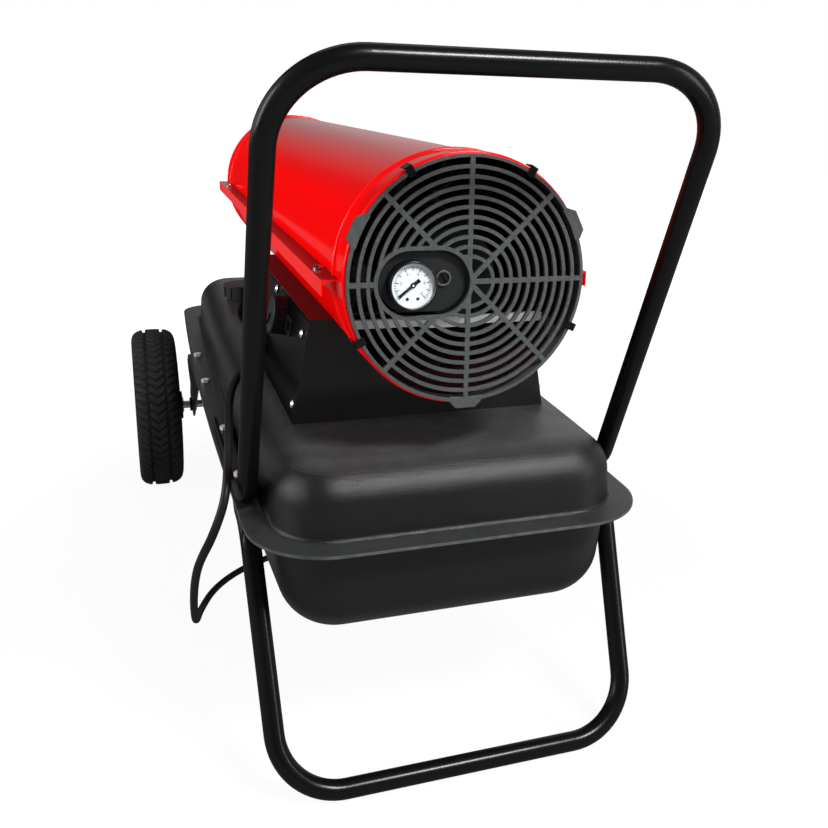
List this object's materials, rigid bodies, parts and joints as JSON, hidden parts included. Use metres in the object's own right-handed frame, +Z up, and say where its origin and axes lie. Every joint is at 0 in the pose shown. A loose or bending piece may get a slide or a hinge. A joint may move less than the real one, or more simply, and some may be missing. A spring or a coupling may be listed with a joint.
{
  "type": "forced air heater",
  "caption": "Direct-fired forced air heater: round casing with fan, motor, pump and burner on a wheeled fuel tank with a tube handle, gauge, thermostat and mains cord.",
  "frame": {"origin": "on the floor, under the middle of the heater's length and width", "axes": "+Y along the air flow towards the hot outlet, +Z up, +X to the right of the air flow; the control panel is on -X"},
  "size_m": [0.5622, 1.1008, 0.6674],
  "materials": {
    "tank_paint": "satin textured black paint",
    "frame_paint": "satin black paint",
    "pedestal_paint": "glossy black paint",
    "casing_paint": "glossy red powder coat",
    "guard_plastic": "moulded black grille",
    "zinc": "bright zinc plate",
    "screws": "nickel plate",
    "tyre_rubber": "solid rubber",
    "rim_plastic": "moulded nylon",
    "chamber_steel": "heat-proof steel",
    "fan_aluminium": "pressed",
    "motor_paint": "grey-black enamel",
    "pump_metal": "cast",
    "rotor_carbon": "carbon composite",
    "gauge_metal": "black enamel",
    "dial_white": "white enamel",
    "needle_black": "black enamel",
    "clear_lens": "clear",
    "brass": "turned",
    "ceramic": "glazed",
    "filler_plastic": "moulded black plastic",
    "control_plastic": "moulded black plastic",
    "board": "epoxy board",
    "hose_rubber": "fuel-proof rubber",
    "cord_rubber": "black rubber flex"
  },
  "bodies": {
    "chassis": {"air_hose": "hose_rubber", "axle": "zinc", "axle_washers": "zinc", "burner_head": "chamber_steel", "combustion_chamber": "chamber_steel", "control_board": "board", "control_panel": "pedestal_paint", "cord_coil": "cord_rubber", "cotter_pins": "zinc", "cover_screws": "screws", "drain_plug": "zinc", "filler_neck": "filler_plastic", "filler_strainer": "filler_plastic", "frame_bolts": "zinc", "frame_nuts": "zinc", "fuel_line": "hose_rubber", "fuel_nozzle": "brass", "gauge_case": "gauge_metal", "gauge_dial": "dial_white", "gauge_lens": "clear_lens", "guard_clips": "zinc", "ignition_transformer": "motor_paint", "level_gauge_body": "filler_plastic", "level_gauge_lens": "clear_lens", "lower_casing": "casing_paint", "motor_body": "motor_paint", "motor_bracket": "zinc", "outlet_cone": "chamber_steel", "pedestal_body": "pedestal_paint", "photocell": "ceramic", "power_cord": "cord_rubber", "power_plug": "cord_rubber", "pump_body": "pump_metal", "pump_end_cover": "pump_metal", "rear_guard": "guard_plastic", "rear_handle": "frame_paint", "rear_leg": "frame_paint", "side_cover": "pedestal_paint", "spark_electrode": "ceramic", "strain_relief": "cord_rubber", "switch_housing": "control_plastic", "tank_lower_half": "tank_paint", "tank_upper_half": "tank_paint", "upper_casing": "casing_paint", "wheel_bracket_left": "frame_paint", "wheel_bracket_right": "frame_paint"},
    "wheel_left": {"tyre_left": "tyre_rubber", "wheel_rim_left": "rim_plastic"},
    "wheel_right": {"tyre_right": "tyre_rubber", "wheel_rim_right": "rim_plastic"},
    "rotor": {"motor_shaft": "zinc", "fan": "fan_aluminium", "pump_rotor": "rotor_carbon"},
    "cap": {"fuel_cap": "filler_plastic"},
    "float": {"fuel_float": "filler_plastic"},
    "level_needle": {"level_gauge_needle": "needle_black"},
    "gauge_hand": {"gauge_needle": "needle_black"},
    "adjuster": {"pressure_screw": "gauge_metal"},
    "rocker": {"power_switch": "control_plastic"},
    "knob": {"thermostat_knob": "control_plastic"}
  },
  "joints": [
    {"name": "wheel_left_spin", "type": "hinge", "parent": "chassis", "child": "wheel_left", "pos_m": [-0.2476, 0.35497, 0.127], "axis": [1, 0, 0], "continuous": true},
    {"name": "wheel_right_spin", "type": "hinge", "parent": "chassis", "child": "wheel_right", "pos_m": [0.2476, 0.35497, 0.127], "axis": [1, 0, 0], "continuous": true},
    {"name": "fan_spin", "type": "hinge", "parent": "chassis", "child": "rotor", "pos_m": [0, -0.29962, 0.48], "axis": [0, 1, 0], "continuous": true},
    {"name": "cap_turn", "type": "hinge", "parent": "chassis", "child": "cap", "pos_m": [-0.112, 0.27237, 0.335], "axis": [0, 0, 1], "range_deg": [0, 90]},
    {"name": "float_lift", "type": "hinge", "parent": "chassis", "child": "float", "pos_m": [-0.1194, 0.09728, 0.283], "axis": [1, 0, 0], "range_deg": [0, 50]},
    {"name": "level_needle_turn", "type": "hinge", "parent": "chassis", "child": "level_needle", "pos_m": [-0.1194, 0.08687, 0.339], "axis": [0, 0.866, -0.5], "range_deg": [0, 90]},
    {"name": "gauge_needle_turn", "type": "hinge", "parent": "chassis", "child": "gauge_hand", "pos_m": [-0.051, -0.45103, 0.479], "axis": [0, 1, 0], "range_deg": [0, 270]},
    {"name": "pressure_screw_turn", "type": "hinge", "parent": "chassis", "child": "adjuster", "pos_m": [-0.022, -0.43962, 0.483], "axis": [0, 1, 0], "range_deg": [-180, 180]},
    {"name": "power_switch_rock", "type": "hinge", "parent": "chassis", "child": "rocker", "pos_m": [-0.11756, -0.22953, 0.39531], "axis": [0.176, 0, 0.9844], "range_deg": [0, 18]},
    {"name": "thermostat_turn", "type": "hinge", "parent": "chassis", "child": "knob", "pos_m": [-0.11967, -0.19253, 0.39772], "axis": [0.9844, 0, -0.176], "range_deg": [0, 270]}
  ],
  "couplings": [
    {"joint": "level_needle_turn", "follows": "float_lift", "ratio": 1.8}
  ]
}
